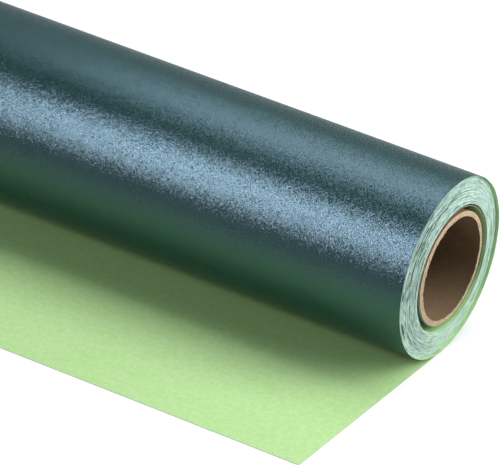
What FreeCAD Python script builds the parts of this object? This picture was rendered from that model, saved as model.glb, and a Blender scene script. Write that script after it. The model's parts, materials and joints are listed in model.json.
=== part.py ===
"""A roll of two-sided backdrop paper on a cardboard core, lying on a flat surface with its free end drawn out.

Frame, in millimetres: the origin is on the core's axis, half way along it. +X runs along the axis, +Z is up,
and the free end lies towards -Y. Angles are taken about the axis, from +Y towards +Z, so 270 is straight down.

The web leaves the tail under the roll, climbs the back, goes over the top, down the front, and winds inwards.
Its wound turns are modelled in bands. Each band is one closed tube that stands for several turns, and it can
slide along the axis inside the next one, as the turns of a real roll do.
"""

import FreeCAD, Part
import Sketcher
import math
import os

BAND_COUNT = 10
PLY_COUNT = 5

SIZES = {
    # the paper
    "web_width": 660,
    "paper_thickness": 0.2,
    "roll_radius": 39,
    "pack_bore_radius": 27.5,
    "slip_gap": 0.05,
    "tail_reach": 110,
    "tail_lap": 8,
    "tail_end_length": 22,
    # the core
    "core_length": 660,
    "core_bore_radius": 22.25,
    "core_wall": 2.1,
    "glue_line": 0.04,
    # how far each edge is moved towards +X from the middle of the core
    "last_turn_shift": -0.7,
    "outermost_shift": -2.1,
    "innermost_shift": 0.4,
    "lead_in_shift": -0.5,
    # where the last turn and the first turn begin and end, in degrees
    "last_turn_start": -90,
    "last_turn_stop": 262,
    "core_hug_start": 180,
    "core_hug_stop": 300,
    "bore_hug_start": -130,
    "bore_hug_stop": 0,
    # the tabs of tape that hold the first turn to the core
    "tape_thickness": 0.1,
    "tape_width": 25,
    "tape_pitch": 250,
    "tape_start": 272,
    "tape_stop": 298,
}

doc = FreeCAD.newDocument("BackdropPaperRoll")
sheet = doc.addObject("Spreadsheet::Sheet", "Sizes")
for row, (name, value) in enumerate(SIZES.items(), 1):
    sheet.set(f"A{row}", name)
    sheet.set(f"B{row}", str(value))
    sheet.setAlias(f"B{row}", name)
doc.recompute()


def size(name):
    """A length of the sheet, as an expression."""
    return f"(Sizes.{name} * 1 mm)"


def bearing(name):
    """An angle of the sheet, as an expression."""
    return f"(Sizes.{name} * 1 deg)"


def number(expression):
    """What an expression comes to, in millimetres or degrees, so that a sketch starts near its solution."""
    return float(sheet.evalExpression(expression).Value)


CORE_RADIUS = f"({size('core_bore_radius')} + {size('core_wall')})"
LAST_TURN_BORE = f"({size('roll_radius')} - {size('paper_thickness')})"
TAIL_TOP = f"(-1 * {size('roll_radius')} - {size('slip_gap')})"
FLOOR = f"({TAIL_TOP} - {size('paper_thickness')})"
CUT_EDGE = f"(-1 * {size('tail_reach')})"
FOLD = f"({CUT_EDGE} + {size('tail_end_length')})"


def new_body(label):
    """An empty sub-part, which may hold separate solids."""
    body = doc.addObject("PartDesign::Body", label)
    body.Label = label
    body.AllowCompound = True
    return body


def cross_section(body):
    """An empty sketch across the axis, with its own first axis along +Y and its second along +Z."""
    plane = next(feature for feature in body.Origin.OriginFeatures if feature.Role == "YZ_Plane")
    sketch = body.newObject("Sketcher::SketchObject", f"{body.Label}_section")
    sketch.AttachmentSupport = [(plane, "")]
    sketch.MapMode = "FlatFace"
    return sketch


def dimension(sketch, constraint, name, expression):
    """Adds a driving dimension and ties it to the sheet."""
    sketch.renameConstraint(sketch.addConstraint(constraint), name)
    sketch.setExpression(f"Constraints.{name}", expression)


def draw_out(body, sketch, length):
    """Carries a cross-section along the axis, half of the length each way."""
    pad = body.newObject("PartDesign::Pad", f"{body.Label}_pad")
    pad.Profile = sketch
    pad.SideType = "Symmetric"
    pad.setExpression("Length", length)
    return pad


def tube(label, inner, outer, length, shift="0 mm"):
    """A closed tube about the axis: a ply of the core, or a band of wound turns."""
    body = new_body(label)
    sketch = cross_section(body)
    for name, radius in (("inner_radius", inner), ("outer_radius", outer)):
        circle = Part.Circle(FreeCAD.Vector(), FreeCAD.Vector(0, 0, 1), number(radius))
        edge = sketch.addGeometry(circle)
        sketch.addConstraint(Sketcher.Constraint("Coincident", edge, 3, -1, 1))
        dimension(sketch, Sketcher.Constraint("Radius", edge, number(radius)), name, radius)
    draw_out(body, sketch, length)
    body.setExpression("Placement.Base.x", shift)
    return body


def curl(body, inner, thickness, start, stop, length, centre="0 mm"):
    """Adds a strip that follows an arc about the point (centre, 0), anticlockwise from start to stop."""
    sketch = cross_section(body)
    middle = FreeCAD.Vector(number(centre), 0, 0)
    turns = [math.radians(number(angle)) for angle in (start, stop)]
    radii = [number(inner), number(f"{inner} + {thickness}")]
    arcs, ends = [], []
    for radius in radii:
        circle = Part.Circle(middle, FreeCAD.Vector(0, 0, 1), radius)
        arcs.append(sketch.addGeometry(Part.ArcOfCircle(circle, *turns)))
    for turn in turns:
        way = FreeCAD.Vector(math.cos(turn), math.sin(turn), 0)
        ends.append(sketch.addGeometry(Part.LineSegment(middle + way * radii[0], middle + way * radii[1])))
    for end, arc_end in zip(ends, (1, 2)):
        sketch.addConstraint(Sketcher.Constraint("Coincident", end, 1, arcs[0], arc_end))
        sketch.addConstraint(Sketcher.Constraint("Coincident", end, 2, arcs[1], arc_end))
    sketch.addConstraint(Sketcher.Constraint("Coincident", arcs[0], 3, arcs[1], 3))
    sketch.addConstraint(Sketcher.Constraint("PointOnObject", arcs[0], 3, -1))
    for end in ends:
        sketch.addConstraint(Sketcher.Constraint("PointOnObject", arcs[0], 3, end))
    dimension(sketch, Sketcher.Constraint("DistanceX", -1, 1, arcs[0], 3, middle.x), "centre", centre)
    dimension(sketch, Sketcher.Constraint("Radius", arcs[0], radii[0]), "inner_radius", inner)
    dimension(sketch, Sketcher.Constraint("Radius", arcs[1], radii[1]), "outer_radius", f"{inner} + {thickness}")
    for end, turn, name, angle in zip(ends, turns, ("start", "stop"), (start, stop)):
        dimension(sketch, Sketcher.Constraint("Angle", end, turn), name, angle)
    return draw_out(body, sketch, length)


def flat(label, near, far, shift):
    """A flat stretch of the web on the floor, between two distances from the axis along Y."""
    strip = doc.addObject("Part::Box", label)
    strip.Label = label
    strip.setExpression("Length", size("web_width"))
    strip.setExpression("Width", f"{near} - {far}")
    strip.setExpression("Height", size("paper_thickness"))
    strip.setExpression("Placement.Base.x", f"{shift} - {size('web_width')} / 2")
    strip.setExpression("Placement.Base.y", far)
    strip.setExpression("Placement.Base.z", FLOOR)
    return strip


def core():
    """The spiral-wound cardboard tube, ply by ply from the bore outwards, with a line of glue between plies."""
    names = ["core_inner_liner", "core_ply_1", "core_ply_2", "core_ply_3", "core_outer_liner"]
    pitch = f"{size('core_wall')} / {PLY_COUNT}"
    plies = []
    for place, name in enumerate(names):
        inner = f"{size('core_bore_radius')} + {place} * {pitch}"
        glue = "" if place == PLY_COUNT - 1 else f" - {size('glue_line')}"
        plies.append(tube(name, inner, f"{inner} + {pitch}{glue}", size("core_length")))
    return plies


def starter_tape():
    """Three tabs of double-sided tape on the core, under the start of the paper."""
    body = new_body("starter_tape")
    tab = curl(
        body, CORE_RADIUS, size("tape_thickness"), bearing("tape_start"), bearing("tape_stop"), size("tape_width")
    )
    along = next(feature for feature in body.Origin.OriginFeatures if feature.Role == "X_Axis")
    row = body.newObject("PartDesign::LinearPattern", "starter_tape_row")
    row.Originals = [tab]
    row.Direction = (along, [""])
    row.Occurrences = 3
    row.setExpression("Length", f"2 * {size('tape_pitch')}")
    body.Tip = row
    body.setExpression("Placement.Base.x", f"-1 * {size('tape_pitch')}")
    return body


def lead_in_turn():
    """The first turn: it hugs the core, crosses to the bore of the pack in a half circle, and hugs that."""
    body = new_body("lead_in_turn")
    paper, width = size("paper_thickness"), size("web_width")
    on_core = f"({CORE_RADIUS} + {size('tape_thickness')} + {size('slip_gap')})"
    on_bore = f"({size('pack_bore_radius')} - {size('slip_gap')} - {paper})"
    curl(body, on_core, paper, bearing("core_hug_start"), bearing("core_hug_stop"), width)
    curl(
        body, f"({on_core} + {on_bore}) / 2", paper, bearing("bore_hug_stop"), bearing("core_hug_start"), width,
        centre=f"({on_bore} - {on_core}) / 2",
    )
    curl(body, on_bore, paper, bearing("bore_hug_start"), bearing("bore_hug_stop"), width)
    body.setExpression("Placement.Base.x", size("lead_in_shift"))
    return body


def wound_turns():
    """The bands of wound turns, from the bore outwards, each slid a little further back than the last."""
    pitch = f"({LAST_TURN_BORE} - {size('pack_bore_radius')}) / {BAND_COUNT}"
    step = f"({size('outermost_shift')} - {size('innermost_shift')}) / {BAND_COUNT - 1}"
    bands = []
    for place in range(BAND_COUNT):
        inner = f"{size('pack_bore_radius')} + {place} * {pitch}"
        outer = f"{inner} + {pitch} - {size('slip_gap')}"
        shift = f"{size('innermost_shift')} + {place} * {step}"
        bands.append(tube(f"wound_turns_{place + 1}", inner, outer, size("web_width"), shift))
    return bands


def last_turn():
    """The loose outside turn, open along a slot beside the line where the web comes in under it."""
    body = new_body("last_turn")
    curl(
        body, LAST_TURN_BORE, size("paper_thickness"), bearing("last_turn_start"), bearing("last_turn_stop"),
        size("web_width"),
    )
    body.setExpression("Placement.Base.x", size("last_turn_shift"))
    return body


def tail():
    """The web on the floor: the stretch that the roll stands on, and the free end that can be lifted."""
    shift = size("last_turn_shift")
    return [
        flat("tail", size("tail_lap"), FOLD, shift),
        flat("tail_end", f"{FOLD} - {size('slip_gap')}", CUT_EDGE, shift),
    ]


sub_parts = [*core(), starter_tape(), lead_in_turn(), *wound_turns(), last_turn(), *tail()]
doc.recompute()

for item in doc.Objects:
    if {"Invalid", "Error"} & set(item.State):
        raise RuntimeError(f"{item.Label} failed: {item.State}")
for part in sub_parts:
    if part.Shape.isNull() or not part.Shape.isValid():
        raise RuntimeError(f"{part.Label} has no valid shape")

os.makedirs("parts", exist_ok=True)
for part in sub_parts:
    part.Shape.exportStep(f"parts/{part.Label}.step")
    box = part.Shape.BoundBox
    print(
        f"{part.Label:18} {len(part.Shape.Solids)} solid  {part.Shape.Volume:10.0f} mm3"
        f"  x {box.XMin:8.2f} {box.XMax:8.2f}  y {box.YMin:8.2f} {box.YMax:8.2f}  z {box.ZMin:8.2f} {box.ZMax:8.2f}"
    )
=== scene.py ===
"""Looks for a roll of backdrop paper, pearl teal outside and lime green on the back, on a cardboard core."""

import bpy
import json
import math
import numpy as np
from mathutils import Matrix, Vector


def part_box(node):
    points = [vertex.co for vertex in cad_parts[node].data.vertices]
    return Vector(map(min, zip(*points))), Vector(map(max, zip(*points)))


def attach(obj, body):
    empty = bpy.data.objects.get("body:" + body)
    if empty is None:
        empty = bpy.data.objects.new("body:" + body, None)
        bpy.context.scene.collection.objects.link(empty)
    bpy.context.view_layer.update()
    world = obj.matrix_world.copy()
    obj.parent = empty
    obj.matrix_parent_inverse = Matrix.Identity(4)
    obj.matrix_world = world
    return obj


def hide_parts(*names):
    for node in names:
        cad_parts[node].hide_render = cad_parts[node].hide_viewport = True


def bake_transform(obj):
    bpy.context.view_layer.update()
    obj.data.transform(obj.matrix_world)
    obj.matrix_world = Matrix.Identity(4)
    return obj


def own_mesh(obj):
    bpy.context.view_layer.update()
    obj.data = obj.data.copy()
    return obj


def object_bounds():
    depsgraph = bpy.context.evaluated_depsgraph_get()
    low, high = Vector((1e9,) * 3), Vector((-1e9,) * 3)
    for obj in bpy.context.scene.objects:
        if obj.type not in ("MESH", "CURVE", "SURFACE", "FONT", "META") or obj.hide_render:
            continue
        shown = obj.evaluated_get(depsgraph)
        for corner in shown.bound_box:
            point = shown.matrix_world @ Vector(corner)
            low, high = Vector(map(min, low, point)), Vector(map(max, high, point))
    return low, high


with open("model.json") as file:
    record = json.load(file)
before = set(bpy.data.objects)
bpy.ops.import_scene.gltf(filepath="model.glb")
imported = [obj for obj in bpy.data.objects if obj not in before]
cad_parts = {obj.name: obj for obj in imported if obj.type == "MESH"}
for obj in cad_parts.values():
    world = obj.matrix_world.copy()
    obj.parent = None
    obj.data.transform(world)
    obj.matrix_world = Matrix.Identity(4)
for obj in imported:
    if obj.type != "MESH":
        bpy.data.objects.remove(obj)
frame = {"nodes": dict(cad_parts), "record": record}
cad_box = [list(corner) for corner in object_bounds()]

# --------------------------------------------------------------------------------------------------
# The core: a tube of five plies of board, wound in a spiral and glued. Each end is cut with a knife, which
# pushes the ring's inner edge out a little and leaves it torn, most of all round the bore.

MM = 0.001
TURN = 2 * math.pi
bore_radius = next(m for m in frame["record"]["mounts"] if m["name"] == "core_bore")["dims"]["r_mm"] * MM
PLY_NODES = ["core_inner_liner", "core_ply_1", "core_ply_2", "core_ply_3", "core_outer_liner"]
GLUE_LINE = 0.04 * MM
CUT_BEVEL = 0.3 * MM
CUT_DEPTH = 1.5 * MM
TORN_OUTSIDE, TORN_INSIDE = 0.03 * MM, 0.10 * MM
TEAR_WAVES, FRAY_WAVES = (5, 110), (20, 110)
FRAYED = 0.4
SEAM_PITCH = 115 * MM
SEAM_SHARE = 0.006
SEAM_DENT = 2.0
RING_SPACING = 0.5 * MM
RING_TONE = 0.08
CORE_COLUMNS = 480
END_ROWS = 4
SHARP_ANGLE = math.radians(35)


def ring_size(node):
    """A coaxial node's two ends along X, and its outer radius."""
    low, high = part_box(node)
    return low[0], high[0], max(high[1], high[2], -low[1])


def finish_mesh(name, points, faces, slots, slot_numbers):
    """A piece from its points and four-sided faces, all turned over if the shell they close is inside out."""
    a, b, c, d = (points[faces[:, corner]] for corner in range(4))
    volume = (np.cross(a, b) * c).sum() + (np.cross(a, c) * d).sum()
    if volume < 0:
        faces = faces[:, ::-1]
    mesh = bpy.data.meshes.new(name)
    mesh.from_pydata(points, [], faces)
    for material in slots:
        mesh.materials.append(material)
    mesh.polygons.foreach_set("material_index", np.asarray(slot_numbers, dtype=np.int32))
    mesh.polygons.foreach_set("use_smooth", np.ones(len(faces), dtype=bool))
    mesh.set_sharp_from_angle(angle=SHARP_ANGLE)
    mesh.update()
    piece = bpy.data.objects.new(name, mesh)
    bpy.context.scene.collection.objects.link(piece)
    return piece


def turned_ring(name, along, radius, angles, slots, slot_numbers):
    """A closed profile turned about the X axis: point (u, v) is (along, r cos(angle), r sin(angle)).

    along, radius and slot_numbers are grids with the profile down the rows and the angle across, or only the
    profile's column.
    """
    angle = angles[None, :]
    along, radius = (np.broadcast_to(grid, (len(grid), len(angles))) for grid in (along, radius))
    points = np.stack([along, radius * np.cos(angle), radius * np.sin(angle)], axis=-1)
    rows, columns = radius.shape
    u, v = np.meshgrid(np.arange(rows), np.arange(columns), indexing="ij")
    over, down = (v + 1) % columns, (u + 1) % rows
    this_row, next_row = u * columns, down * columns
    faces = np.stack([this_row + v, this_row + over, next_row + over, next_row + v], axis=-1)
    numbers = np.broadcast_to(slot_numbers, (rows, columns)).reshape(-1)
    return finish_mesh(name, points.reshape(-1, 3), faces.reshape(-1, 4), slots, numbers)


def ripple(angles, random, waves, amplitude):
    """A closed wavy line: the sum of sin(n angle + phase) / sqrt(n), with random phases.

    n goes through the whole numbers from waves[0] to before waves[1], and amplitude is the line's RMS height.
    """
    count = np.arange(waves[0], waves[1])[:, None]
    phase = random.uniform(0, TURN, count.shape)
    wave = np.sin(count * angles[None, :] + phase) / np.sqrt(count)
    return amplitude * wave.sum(axis=0) / np.sqrt((0.5 / count).sum())


def add(tree, kind, inputs=None, **settings):
    """Adds a node. An input given as a socket is linked, and any other is its value."""
    node = tree.nodes.new(kind)
    for name, value in settings.items():
        setattr(node, name, value)
    for name, value in (inputs or {}).items():
        if isinstance(value, bpy.types.NodeSocket):
            tree.links.new(value, node.inputs[name])
        else:
            node.inputs[name].default_value = value
    return node


def maths(tree, operation, first, second=0.0, third=0.0):
    """One Math node's result."""
    return add(tree, "ShaderNodeMath", {0: first, 1: second, 2: third}, operation=operation).outputs[0]


def vectors(tree, operation, first, second=(0, 0, 0)):
    """One Vector Math node's result."""
    node = add(tree, "ShaderNodeVectorMath", {0: first, 1: second}, operation=operation)
    return node.outputs["Value" if operation == "LENGTH" else "Vector"]


def scaled(tree, vector, factor):
    """A colour or a vector, times a factor."""
    node = add(tree, "ShaderNodeVectorMath", {0: vector, "Scale": factor}, operation="SCALE")
    return node.outputs["Vector"]


def blended(tree, share, first, second):
    """The first colour at a share of 0, the second at 1, and a mix between."""
    node = add(tree, "ShaderNodeMix", {0: share, 6: first, 7: second}, data_type="RGBA")
    return node.outputs[2]


def new_group(name, inputs, outputs):
    """An empty node group. Inputs are name: default, and outputs name: kind of socket."""
    tree = bpy.data.node_groups.new(name, "ShaderNodeTree")
    for label, default in inputs.items():
        socket = tree.interface.new_socket(label, in_out="INPUT", socket_type="NodeSocketFloat")
        socket.default_value = default
    for label, kind in outputs.items():
        tree.interface.new_socket(label, in_out="OUTPUT", socket_type=kind)
    return tree, tree.nodes.new("NodeGroupInput").outputs, tree.nodes.new("NodeGroupOutput").inputs


def place(tree, group, **values):
    """Places a node group in a material. Underscores in the names of values stand for spaces."""
    node = add(tree, "ShaderNodeGroup", node_tree=group)
    for name, value in values.items():
        socket = node.inputs[name.replace("_", " ")]
        if isinstance(value, bpy.types.NodeSocket):
            tree.links.new(value, socket)
        else:
            socket.default_value = value
    return node


def new_material(name):
    """A new material, its node tree, and its Principled shader."""
    material = bpy.data.materials.new(name)
    material.use_nodes = True
    tree = material.node_tree
    return material, tree, tree.nodes["Principled BSDF"]


def add_bump(tree, shader, height, strength, distance):
    """Dents a shader's surface by a height."""
    bump = add(tree, "ShaderNodeBump", {"Strength": strength, "Distance": distance, "Height": height})
    tree.links.new(bump.outputs[0], shader.inputs["Normal"])


def make_fibres():
    """Paper and board fibres, as a height and a tone: 1 + contrast (0.6 streaks + 0.4 clouds - 0.5)."""
    tree, given, out = new_group(
        "Paper fibres",
        {"Fibre Size": 0.0006, "Cloud Size": 0.006, "Contrast": 0.1},
        {"Tone": "NodeSocketFloat", "Height": "NodeSocketFloat"},
    )
    place_on = add(tree, "ShaderNodeTexCoord").outputs["Object"]
    fine = maths(tree, "DIVIDE", 1.0, given["Fibre Size"])
    broad = maths(tree, "DIVIDE", 1.0, given["Cloud Size"])
    streaks = add(
        tree, "ShaderNodeTexNoise",
        {"Vector": place_on, "Scale": fine, "Detail": 3.0, "Roughness": 0.6, "Distortion": 1.5},
    ).outputs["Fac"]
    clouds = add(
        tree, "ShaderNodeTexNoise", {"Vector": place_on, "Scale": broad, "Detail": 2.0, "Roughness": 0.5}
    ).outputs["Fac"]
    both = maths(tree, "ADD", maths(tree, "MULTIPLY", streaks, 0.6), maths(tree, "MULTIPLY", clouds, 0.4))
    swing = maths(tree, "MULTIPLY", maths(tree, "SUBTRACT", both, 0.5), given["Contrast"])
    tree.links.new(maths(tree, "ADD", swing, 1.0), out["Tone"])
    tree.links.new(streaks, out["Height"])
    return tree


fibres = make_fibres()


def wound_board():
    """Brown board wound in a spiral: fibres, blotches, and the dark butt seam that climbs round the tube."""
    material, tree, shader = new_material("wound_board")
    paper = place(tree, fibres, Fibre_Size=0.0012, Cloud_Size=0.014, Contrast=1.3)
    spot = add(tree, "ShaderNodeSeparateXYZ", {0: add(tree, "ShaderNodeTexCoord").outputs["Object"]}).outputs
    angle = maths(tree, "DIVIDE", maths(tree, "ARCTAN2", spot["Z"], spot["Y"]), TURN)
    climb = maths(tree, "ADD", maths(tree, "DIVIDE", spot["X"], SEAM_PITCH), angle)
    from_seam = maths(tree, "ABSOLUTE", maths(tree, "SUBTRACT", maths(tree, "FRACT", climb), 0.5))
    seam = maths(tree, "LESS_THAN", from_seam, SEAM_SHARE)
    board = scaled(tree, (0.26, 0.182, 0.108), paper.outputs["Tone"])
    tree.links.new(blended(tree, seam, board, (0.07, 0.042, 0.024, 1)), shader.inputs["Base Color"])
    shader.inputs["Roughness"].default_value = 0.8
    shader.inputs["Specular IOR Level"].default_value = 0.15
    height = maths(tree, "SUBTRACT", paper.outputs["Height"], maths(tree, "MULTIPLY", seam, SEAM_DENT))
    add_bump(tree, shader, height, strength=0.4, distance=0.2 * MM)
    return material


def cut_board():
    """The knife-cut ring of the core: pale tan, with the plies as faint rings and darker torn flecks."""
    material, tree, shader = new_material("cut_board")
    paper = place(tree, fibres, Fibre_Size=0.0005, Cloud_Size=0.0035, Contrast=1.1)
    spot = add(tree, "ShaderNodeSeparateXYZ", {0: add(tree, "ShaderNodeTexCoord").outputs["Object"]}).outputs
    across = add(tree, "ShaderNodeCombineXYZ", {"X": spot["Y"], "Y": spot["Z"]}).outputs[0]
    radius = vectors(tree, "LENGTH", across)
    rings = maths(tree, "SINE", maths(tree, "MULTIPLY", radius, TURN / RING_SPACING))
    tone = maths(tree, "ADD", paper.outputs["Tone"], maths(tree, "MULTIPLY", rings, RING_TONE))
    tree.links.new(scaled(tree, (0.69, 0.51, 0.335), tone), shader.inputs["Base Color"])
    shader.inputs["Roughness"].default_value = 0.9
    add_bump(tree, shader, paper.outputs["Height"], strength=0.6, distance=0.2 * MM)
    return material


core_slots = [wound_board(), cut_board()]
WOUND, CUT = range(2)
core_angles = np.linspace(0, TURN, CORE_COLUMNS, endpoint=False)
core_random = np.random.default_rng(11)
core_wall = ring_size(PLY_NODES[-1])[2] - bore_radius
inner = bore_radius
for node in PLY_NODES:
    x_low, x_high, outer = ring_size(node)
    radii = np.linspace(outer, inner, END_ROWS)[:, None]
    inward = 1 - (radii - bore_radius) / core_wall
    tear = TORN_OUTSIDE + (TORN_INSIDE - TORN_OUTSIDE) * inward**2
    shared = ripple(core_angles, core_random, TEAR_WAVES, 1.0)
    ragged = np.stack([shared + ripple(core_angles, core_random, FRAY_WAVES, FRAYED) for _ in radii]) * tear
    pushed = CUT_BEVEL * (inward - 0.5)
    high_end = np.minimum(x_high + pushed + ragged, cad_box[1][0])
    low_end = np.maximum(x_low - pushed - ragged, cad_box[0][0])
    wall = np.repeat([[x_high - CUT_DEPTH], [x_low + CUT_DEPTH]], len(core_angles), axis=1)
    end_radii, wall_radii = radii[:, 0], np.full(2, inner)
    ply = turned_ring(
        f"{node}_tube",
        np.concatenate([high_end, wall, low_end[::-1], wall[::-1]]),
        np.concatenate([end_radii, wall_radii, end_radii[::-1], np.full(2, outer)])[:, None],
        core_angles,
        core_slots,
        np.array(([CUT] * (END_ROWS - 1) + [WOUND] * (len(wall) + 1)) * 2)[:, None],
    )
    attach(ply, "core")
    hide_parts(node)
    inner = outer + GLUE_LINE

# --------------------------------------------------------------------------------------------------
# The starter tape: three tabs of double-sided tape, pressed on the core to catch the start of the paper. They
# are plain strips of film, so the frame's own shapes are kept and only given their finish.


def tape_film():
    """Cream tape, faintly streaked along its width."""
    material, tree, shader = new_material("tape_film")
    paper = place(tree, fibres, Fibre_Size=0.0008, Cloud_Size=0.004, Contrast=0.3)
    cream = scaled(tree, (0.78, 0.74, 0.62), paper.outputs["Tone"])
    tree.links.new(cream, shader.inputs["Base Color"])
    shader.inputs["Roughness"].default_value = 0.35
    return material


tape = frame["nodes"]["starter_tape"]
tape.data.materials.clear()
tape.data.materials.append(tape_film())

# --------------------------------------------------------------------------------------------------
# The paper: one long sheet, with a pearl teal coating outside and lime green on the back. The first turn hugs
# the core, crosses the gap in a half circle to the bore of the wound turns, and lies against that.

PAPER = 0.2 * MM
SLIP_GAP = 0.05 * MM
ROLLED_OVER = 0.45 * MM
STREAKS_ROUND = 6.0
STREAK_SWING = 1.7
FLAKE_SWING = 0.4
DEEPEST = 0.3
PALER_FROM, PALER_CONTRAST = 0.9, 5.0


def make_flakes():
    """Mica flakes in a coating: each cell of a fine mosaic has its own tilt and its own tone.

    The web is coated along its length, and so the flakes lean mostly that way, and less across it, along X.
    """
    tree, given, out = new_group(
        "Pearl flakes",
        {"Flake Size": 0.0003, "Tilt": 0.3, "Tilt Across": 0.1},
        {"Tone": "NodeSocketFloat", "Normal": "NodeSocketVector"},
    )
    place_on = add(tree, "ShaderNodeTexCoord").outputs["Object"]
    fine = maths(tree, "DIVIDE", 1.0, given["Flake Size"])
    mosaic = add(tree, "ShaderNodeTexVoronoi", {"Vector": place_on, "Scale": fine}).outputs["Color"]
    most = {"X": given["Tilt Across"], "Y": given["Tilt"], "Z": given["Tilt"]}
    most = add(tree, "ShaderNodeCombineXYZ", most).outputs[0]
    lean = vectors(tree, "MULTIPLY", vectors(tree, "SUBTRACT", mosaic, (0.5, 0.5, 0.5)), most)
    face = add(tree, "ShaderNodeNewGeometry").outputs["Normal"]
    tree.links.new(add(tree, "ShaderNodeSeparateColor", {0: mosaic}).outputs[0], out["Tone"])
    tree.links.new(vectors(tree, "NORMALIZE", vectors(tree, "ADD", face, lean)), out["Normal"])
    return tree


flakes = make_flakes()


def pearl_coat():
    """The outside of the web: dark teal under a satin pearl coating that glitters where light strikes it.

    A flake that lies deeper mirrors less: it is more metallic, and the dark teal as a metal mirrors little.
    """
    material, tree, shader = new_material("pearl_coat")
    mica = place(tree, flakes, Flake_Size=0.0002, Tilt=0.42, Tilt_Across=0.06)
    shade = maths(tree, "MULTIPLY_ADD", mica.outputs["Tone"], FLAKE_SWING, 1 - FLAKE_SWING / 2)
    tree.links.new(scaled(tree, (0.001, 0.054, 0.040), shade), shader.inputs["Base Color"])
    shader.inputs["Specular Tint"].default_value = (0.55, 0.73, 0.97, 1)
    shader.inputs["IOR"].default_value = 2.3
    buried = maths(tree, "MULTIPLY", mica.outputs["Tone"], DEEPEST)
    tree.links.new(buried, shader.inputs["Metallic"])
    shader.inputs["Roughness"].default_value = 0.23
    tree.links.new(mica.outputs["Normal"], shader.inputs["Normal"])
    return material


def lime_back():
    """The back of the web: uncoated lime green, with paler fibres where less of the dye has taken."""
    material, tree, shader = new_material("lime_back")
    paper = place(tree, fibres, Fibre_Size=0.0006, Cloud_Size=0.0019, Contrast=1.0)
    paler = maths(tree, "MULTIPLY_ADD", paper.outputs["Tone"], PALER_CONTRAST, -PALER_CONTRAST * PALER_FROM)
    dyed = blended(tree, paler, (0.53, 0.88, 0.33, 1), (0.66, 0.95, 0.48, 1))
    tree.links.new(dyed, shader.inputs["Base Color"])
    shader.inputs["Roughness"].default_value = 0.65
    shader.inputs["Specular IOR Level"].default_value = 0.4
    add_bump(tree, shader, paper.outputs["Height"], strength=0.25, distance=0.1 * MM)
    return material


def cut_edge():
    """The cut edge of the web: the white middle of the sheet, tinted mint by its two coloured faces.

    The knife rolls the edges over, turn by turn, and so the tone changes in streaks round the axis: noise at
    (STREAKS_ROUND y / r, STREAKS_ROUND z / r, r / ROLLED_OVER).
    """
    material, tree, shader = new_material("cut_edge")
    paper = place(tree, fibres, Fibre_Size=0.0004, Cloud_Size=0.003, Contrast=1.0)
    spot = add(tree, "ShaderNodeSeparateXYZ", {0: add(tree, "ShaderNodeTexCoord").outputs["Object"]}).outputs
    across = add(tree, "ShaderNodeCombineXYZ", {"X": spot["Y"], "Y": spot["Z"]}).outputs[0]
    turns = maths(tree, "DIVIDE", vectors(tree, "LENGTH", across), ROLLED_OVER)
    around = scaled(tree, vectors(tree, "NORMALIZE", across), STREAKS_ROUND)
    outwards = add(tree, "ShaderNodeCombineXYZ", {"Z": turns}).outputs[0]
    streaked = vectors(tree, "ADD", around, outwards)
    streaks = add(tree, "ShaderNodeTexNoise", {"Vector": streaked, "Scale": 1.0, "Detail": 2.0})
    rolled = maths(tree, "MULTIPLY_ADD", streaks.outputs["Fac"], STREAK_SWING, 1 - STREAK_SWING / 2)
    tone = maths(tree, "MULTIPLY", paper.outputs["Tone"], rolled)
    tree.links.new(scaled(tree, (0.545, 0.74, 0.66), tone), shader.inputs["Base Color"])
    shader.inputs["Roughness"].default_value = 0.85
    shader.inputs["Specular IOR Level"].default_value = 0.3
    return material


web = [pearl_coat(), lime_back(), cut_edge()]
OUTSIDE, BACK, EDGE = range(3)


def sheet_shell(name, face, back, slots):
    """A sheet between two grids of points: its face, its back, and the four narrow edges that join them."""
    rows, columns = face.shape[:2]
    points = np.concatenate([face.reshape(-1, 3), back.reshape(-1, 3)])
    number = np.arange(rows * columns).reshape(rows, columns)
    behind = number + rows * columns

    def cells(grid):
        corners = [grid[:-1, :-1], grid[:-1, 1:], grid[1:, 1:], grid[1:, :-1]]
        return np.stack(corners, axis=-1).reshape(-1, 4)

    def rim(near, far):
        return np.stack([near[:-1], far[:-1], far[1:], near[1:]], axis=-1)

    around = [
        rim(number[0], behind[0]),
        rim(number[::-1, 0], behind[::-1, 0]),
        rim(number[-1, ::-1], behind[-1, ::-1]),
        rim(number[:, -1], behind[:, -1]),
    ]
    faces = [cells(number), cells(behind)[:, ::-1], np.concatenate(around)]
    numbers = np.repeat([OUTSIDE, BACK, EDGE], [len(part) for part in faces])
    return finish_mesh(name, points, np.concatenate(faces), slots, numbers)


def curled_sheet(name, angles, inner, centre, x_low, x_high, steps):
    """A sheet curled about X: point (u, v) is (x, centre + r cos(angle), r sin(angle)).

    The back has r = inner, and the outside r = inner + PAPER.
    """
    x = np.linspace(x_low, x_high, steps)[None, :]

    def at(radius):
        y, z = centre + radius * np.cos(angles), radius * np.sin(angles)
        return np.stack(np.broadcast_arrays(x, y[:, None], z[:, None]), axis=-1)

    return sheet_shell(name, at(inner + PAPER), at(inner), web)


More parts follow.
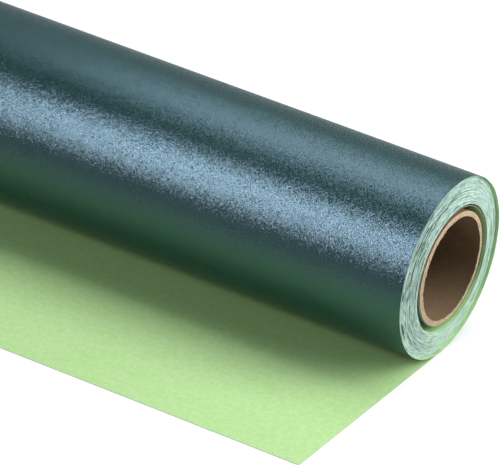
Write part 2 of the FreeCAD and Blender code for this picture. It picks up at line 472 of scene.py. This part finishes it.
PACK_BORE = 27.5 * MM
HUG = 0.15 * MM
x_low, x_high = (corner[0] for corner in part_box("lead_in_turn"))
on_core = ring_size("core_outer_liner")[2] + HUG
on_bore = PACK_BORE - SLIP_GAP - PAPER
LEAVES_CORE, STARTS, CROSSED, ENDS = (math.radians(angle) for angle in (180, 300, 0, -130))
stretches = [
    (np.linspace(STARTS, LEAVES_CORE, 60), on_core, 0.0),
    (np.linspace(LEAVES_CORE, CROSSED, 90)[1:], (on_core + on_bore) / 2, (on_bore - on_core) / 2),
    (np.linspace(CROSSED, ENDS, 60)[1:], on_bore, 0.0),
]
lead_angles = np.concatenate([angles for angles, _, _ in stretches])
lead_inner = np.concatenate([np.full(len(angles), radius) for angles, radius, _ in stretches])
lead_centre = np.concatenate([np.full(len(angles), centre) for angles, _, centre in stretches])
first_turn = curled_sheet("first_turn", lead_angles, lead_inner, lead_centre, x_low, x_high, steps=12)
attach(first_turn, "core")
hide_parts("lead_in_turn")

# --------------------------------------------------------------------------------------------------
# The wound turns, in ten bands of five. The pack has slipped into a shallow cone, a hair's step per turn, and
# here and there part of a turn stands proud of the next, which shows a patch of its teal side as a dark line.

BANDS = 10
TURNS_IN_BAND = 5
BAND_COLUMNS = 288
EDGE_SWAY = 0.04 * MM
PROUD = 0.28 * MM
SWAY_WAVES, PATCH_WAVES = (1, 6), (2, 40)
HIGHEST_PATCH = 2
BARE = 0.3
GROOVE = 0.05 * MM
GAP_SHARE = 0.06
cone_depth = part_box("wound_turns_1")[1][0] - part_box(f"wound_turns_{BANDS}")[1][0]
cone_step = cone_depth / (BANDS - 1) / TURNS_IN_BAND
band_angles = np.linspace(0, TURN, BAND_COLUMNS, endpoint=False)
band_random = np.random.default_rng(5)
inner = PACK_BORE
for band in range(1, BANDS + 1):
    node = f"wound_turns_{band}"
    x_low, x_high, outer = ring_size(node)
    pitch = (outer - inner) / TURNS_IN_BAND
    high_edges, low_edges, sides, profile_r = [], [], [], []
    for turn in range(TURNS_IN_BAND):
        near = inner + turn * pitch
        far = near + pitch * (1 - GAP_SHARE)
        slipped = cone_step * ((TURNS_IN_BAND - 1) / 2 - turn)
        sway = ripple(band_angles, band_random, SWAY_WAVES, EDGE_SWAY)
        patches = np.clip(ripple(band_angles, band_random, PATCH_WAVES, 1.0), 0, HIGHEST_PATCH)
        proud = PROUD * band_random.uniform(0, 1) ** 2 * patches
        sides.append(np.where(proud > BARE * PROUD, OUTSIDE, EDGE))
        high_edges.append(np.minimum(x_high + slipped + sway + proud, cad_box[1][0]))
        low_edges.append(np.maximum(x_low + slipped + sway - proud, cad_box[0][0]))
        profile_r += [near, far, far, near + pitch]
    high, low, kinds = [], [], []
    lime, cut, pearl = (np.full(len(band_angles), slot) for slot in (BACK, EDGE, OUTSIDE))
    for turn in range(TURNS_IN_BAND - 1):
        high += [high_edges[turn]] * 2 + [np.minimum(high_edges[turn], high_edges[turn + 1]) - GROOVE] * 2
        low += [low_edges[turn]] * 2 + [np.maximum(low_edges[turn], low_edges[turn + 1]) + GROOVE] * 2
        kinds += [cut, sides[turn], cut, lime]
    high, low = np.array(high + [high_edges[-1]] * 2), np.array(low + [low_edges[-1]] * 2)
    kinds += [cut]
    radii = np.array(profile_r[:-2])[:, None]
    piece = turned_ring(
        f"paper_band_{band}",
        np.concatenate([high, low[::-1]]),
        np.concatenate([radii, radii[::-1]]),
        band_angles,
        web,
        np.array(kinds + [pearl] + kinds[::-1] + [lime]),
    )
    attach(piece, "core" if band == 1 else f"turns_{band}")
    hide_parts(node)
    inner = outer + SLIP_GAP

# --------------------------------------------------------------------------------------------------
# The last turn: the loose outside turn of the web, pearl side out. It is open along a slot low on its front,
# where the turn below it goes on inwards, and its edges stand a little past the turns that it covers.

roll_low, roll_high, roll_radius = ring_size("last_turn")
SLOT_FROM, SLOT_TO = math.radians(262), math.radians(-90)
last_angles = np.linspace(SLOT_FROM, SLOT_TO, 529)
last = curled_sheet("last_turn_sheet", last_angles, roll_radius - PAPER, 0.0, roll_low, roll_high, steps=34)
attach(last, "last_turn")
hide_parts("last_turn")

# --------------------------------------------------------------------------------------------------
# The tail: the free end of the web, lime side up, flat on the surface that the roll stands on. It is drawn as
# two flat stretches: the one by the roll, which rides with the tail, and the free end beyond the fold.

tail_low, tail_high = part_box("tail")
fold_y, cut_y = tail_low[1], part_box("tail_end")[0][1]
TAIL_COLUMNS = 56


def flat_sheet(name, y_near, y_far, rows):
    """A flat stretch of the web: point (u, v) is (x, y), pearl side down on the floor."""
    x, y = np.meshgrid(np.linspace(tail_low[0], tail_high[0], TAIL_COLUMNS), np.linspace(y_near, y_far, rows))
    under = np.stack([x, y, np.full_like(x, tail_low[2])], axis=-1)
    return sheet_shell(name, under, under + (0, 0, PAPER), web)


near_tail = flat_sheet("tail_sheet", 0.0, fold_y, rows=28)
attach(near_tail, "tail")
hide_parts("tail")
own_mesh(near_tail)

free_end = flat_sheet("tail_end_sheet", fold_y, cut_y, rows=24)
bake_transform(free_end)
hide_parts("tail_end")

# --------------------------------------------------------------------------------------------------
# The studio: a pale floor, a dim white room and four softboxes. The top one lights the tail, the front one is
# the bright band in the pearl, the side one lights the end face, and the back one fills in behind.

FLOOR_SIZE = 12.0
FLOOR_GAP = 0.02 * MM
NEAR, FAR = 0.7, 2.5
SEEN_NEAR, SEEN_FAR, SEEN_MIRRORED = 0.6, 1.0, 0.1
floor_z = tail_low[2] - FLOOR_GAP


def studio_floor():
    """Matt white paint. The camera sees it brighter than it is lit, and far off it fades to white."""
    material, tree, shader = new_material("studio_floor")
    shader.inputs["Base Color"].default_value = (0.5, 0.5, 0.5, 1)
    shader.inputs["Roughness"].default_value = 0.9
    shader.inputs["Specular IOR Level"].default_value = 0.1
    shader.inputs["Emission Color"].default_value = (1, 1, 1, 1)
    path = add(tree, "ShaderNodeLightPath").outputs
    spot = add(tree, "ShaderNodeTexCoord").outputs["Object"]
    away = vectors(tree, "LENGTH", spot)
    fade = {"Value": away, "From Min": NEAR, "From Max": FAR, "To Min": SEEN_NEAR, "To Max": SEEN_FAR}
    fade = add(tree, "ShaderNodeMapRange", fade, interpolation_type="SMOOTHSTEP").outputs["Result"]
    mirrored = maths(tree, "MAXIMUM", path["Is Glossy Ray"], path["Is Transmission Ray"])
    seen = maths(tree, "MULTIPLY", path["Is Camera Ray"], fade)
    seen = maths(tree, "MULTIPLY_ADD", mirrored, SEEN_MIRRORED, seen)
    tree.links.new(seen, shader.inputs["Emission Strength"])
    return material


half = FLOOR_SIZE / 2
corners = [(-half, -half, floor_z), (half, -half, floor_z), (half, half, floor_z), (-half, half, floor_z)]
floor_mesh = bpy.data.meshes.new("floor")
floor_mesh.from_pydata(corners, [], [(0, 1, 2, 3)])
floor_mesh.materials.append(studio_floor())
floor = bpy.data.objects.new("floor", floor_mesh)
bpy.context.scene.collection.objects.link(floor)

world = bpy.data.worlds.new("room")
world.use_nodes = True
bpy.context.scene.world = world
room = world.node_tree
path = add(room, "ShaderNodeLightPath").outputs
ROOM_LIGHT = 0.03
ROOM_MIRRORED = 0.15
strength = maths(room, "MULTIPLY_ADD", path["Is Camera Ray"], 1 - ROOM_LIGHT, ROOM_LIGHT)
mirrored = maths(room, "MAXIMUM", path["Is Glossy Ray"], path["Is Transmission Ray"])
strength = maths(room, "MULTIPLY_ADD", mirrored, ROOM_MIRRORED - ROOM_LIGHT, strength)
room.links.new(strength, room.nodes["Background"].inputs["Strength"])
room.nodes["Background"].inputs["Color"].default_value = (1, 1, 1, 1)


def softbox(name, target, direction, distance, width, height, brightness):
    """A rectangular lamp that faces target from a direction, its width level. Brightness is its radiance."""
    lamp = bpy.data.lights.new(name, "AREA")
    lamp.shape = "RECTANGLE"
    lamp.size, lamp.size_y = width, height
    lamp.energy = brightness * math.pi * width * height
    away = Vector(direction).normalized()
    box = bpy.data.objects.new(name, lamp)
    box.location = Vector(target) + away * distance
    box.rotation_mode = "QUATERNION"
    box.rotation_quaternion = away.to_track_quat("Z", "Y")
    box.visible_camera = False
    bpy.context.scene.collection.objects.link(box)


softbox(
    "top_softbox", target=(0.52, 0, 0), direction=(0, 0.35, 0.937),
    distance=1.08, width=1.8, height=0.68, brightness=2.5,
)
softbox(
    "front_softbox", target=(0.25, 0, 0), direction=(-0.43, -0.735, 0.515),
    distance=3.0, width=0.56, height=1.1, brightness=10.5,
)
softbox(
    "side_softbox", target=(0.33, 0, 0), direction=(0.82, 0.32, 0.47),
    distance=1.2, width=1.0, height=0.9, brightness=4.4,
)
softbox(
    "back_softbox", target=(0.1, 0, 0), direction=(-0.35, 0.88, 0.30),
    distance=2.0, width=2.8, height=1.0, brightness=0.32,
)

AIM = Vector((roll_high - 2 * roll_radius, -27 * MM, 0))
AZIMUTH, ELEVATION, CAMERA_ROLL = (math.radians(angle) for angle in (29.72, 29.83, 4.73))
DISTANCE = 62.06 * roll_radius
back = Vector((
    math.sin(AZIMUTH) * math.cos(ELEVATION), -math.cos(AZIMUTH) * math.cos(ELEVATION), math.sin(ELEVATION)
))
camera = bpy.data.cameras.new("camera")
camera.lens = 432
camera.sensor_width = 36
camera.clip_start, camera.clip_end = 0.1, 100
viewer = bpy.data.objects.new("camera", camera)
level = back.to_track_quat("Z", "Y").to_matrix()
turned = level @ Matrix.Rotation(CAMERA_ROLL, 3, "Z")
viewer.matrix_world = Matrix.Translation(AIM + back * DISTANCE) @ turned.to_4x4()
bpy.context.scene.collection.objects.link(viewer)
bpy.context.scene.camera = viewer
bpy.context.scene.view_settings.view_transform = "Standard"
